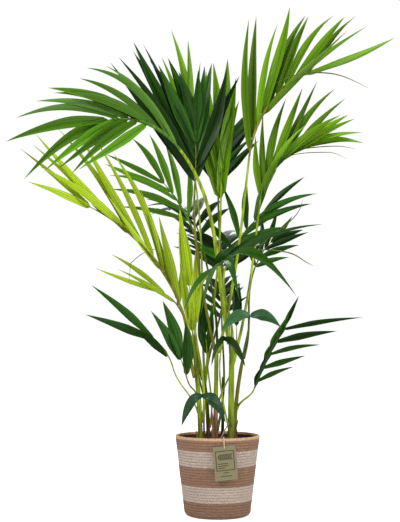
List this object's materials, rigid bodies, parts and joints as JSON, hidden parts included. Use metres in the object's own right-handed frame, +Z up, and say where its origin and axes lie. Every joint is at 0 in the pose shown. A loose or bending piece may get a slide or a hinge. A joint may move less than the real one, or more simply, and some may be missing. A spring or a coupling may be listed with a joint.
{
  "type": "potted kentia palm",
  "caption": "Tall indoor palm with a clump of slim stems and arching feather fronds, standing in a round tapered basket of coiled rope in two tones, with a plain card tag.",
  "frame": {"origin": "centre of the basket's flat underside", "axes": "+Z up along the basket's axis, -Y to the front where the tag hangs, +X to the right as seen from the front"},
  "size_m": [0.9673, 0.8615, 1.3512],
  "materials": {
    "basket": "coiled jute rope, matte",
    "soil": "moist peat, matte",
    "card": "uncoated card",
    "twine": "natural twine",
    "stem": "smooth green sheath, satin",
    "petiole": "smooth green stalk, satin",
    "leaf_mid": "pleated leaf, satin",
    "leaf_bright": "pleated leaf, satin",
    "leaf_dark": "pleated leaf, satin",
    "leaf_lime": "pleated leaf, satin",
    "leaf_blue": "pleated leaf, satin"
  },
  "bodies": {
    "root": {"basket": "basket", "soil": "soil", "tag": "card", "tag_string": "twine", "stem_a": "stem", "stem_b": "stem", "stem_c": "stem", "stem_d": "stem", "stem_e": "stem", "petiole_a": "petiole", "petiole_b": "petiole", "petiole_c": "petiole", "petiole_d": "petiole", "petiole_e": "petiole", "petiole_f": "petiole", "petiole_g": "petiole", "petiole_h": "petiole", "petiole_i": "petiole", "petiole_j": "petiole", "petiole_k": "petiole", "petiole_l": "petiole", "petiole_m": "petiole", "petiole_n": "petiole", "petiole_o": "petiole", "petiole_p": "petiole", "petiole_q": "petiole", "petiole_r": "petiole", "petiole_s": "petiole", "petiole_t": "petiole", "petiole_v": "petiole", "petiole_w": "petiole", "petiole_x": "petiole", "petiole_y": "petiole", "petiole_z": "petiole", "frond_a": "leaf_mid", "frond_b": "leaf_dark", "frond_c": "leaf_bright", "frond_d": "leaf_bright", "frond_e": "leaf_bright", "frond_f": "leaf_bright", "frond_g": "leaf_lime", "frond_h": "leaf_lime", "frond_i": "leaf_dark", "frond_j": "leaf_dark", "frond_k": "leaf_lime", "frond_l": "leaf_dark", "frond_m": "leaf_dark", "frond_n": "leaf_mid", "frond_o": "leaf_dark", "frond_p": "leaf_dark", "frond_q": "leaf_dark", "frond_r": "leaf_dark", "frond_s": "leaf_dark", "frond_t": "leaf_blue", "frond_v": "leaf_dark", "frond_w": "leaf_dark", "frond_x": "leaf_dark", "frond_y": "leaf_dark", "frond_z": "leaf_dark"}
  },
  "joints": []
}
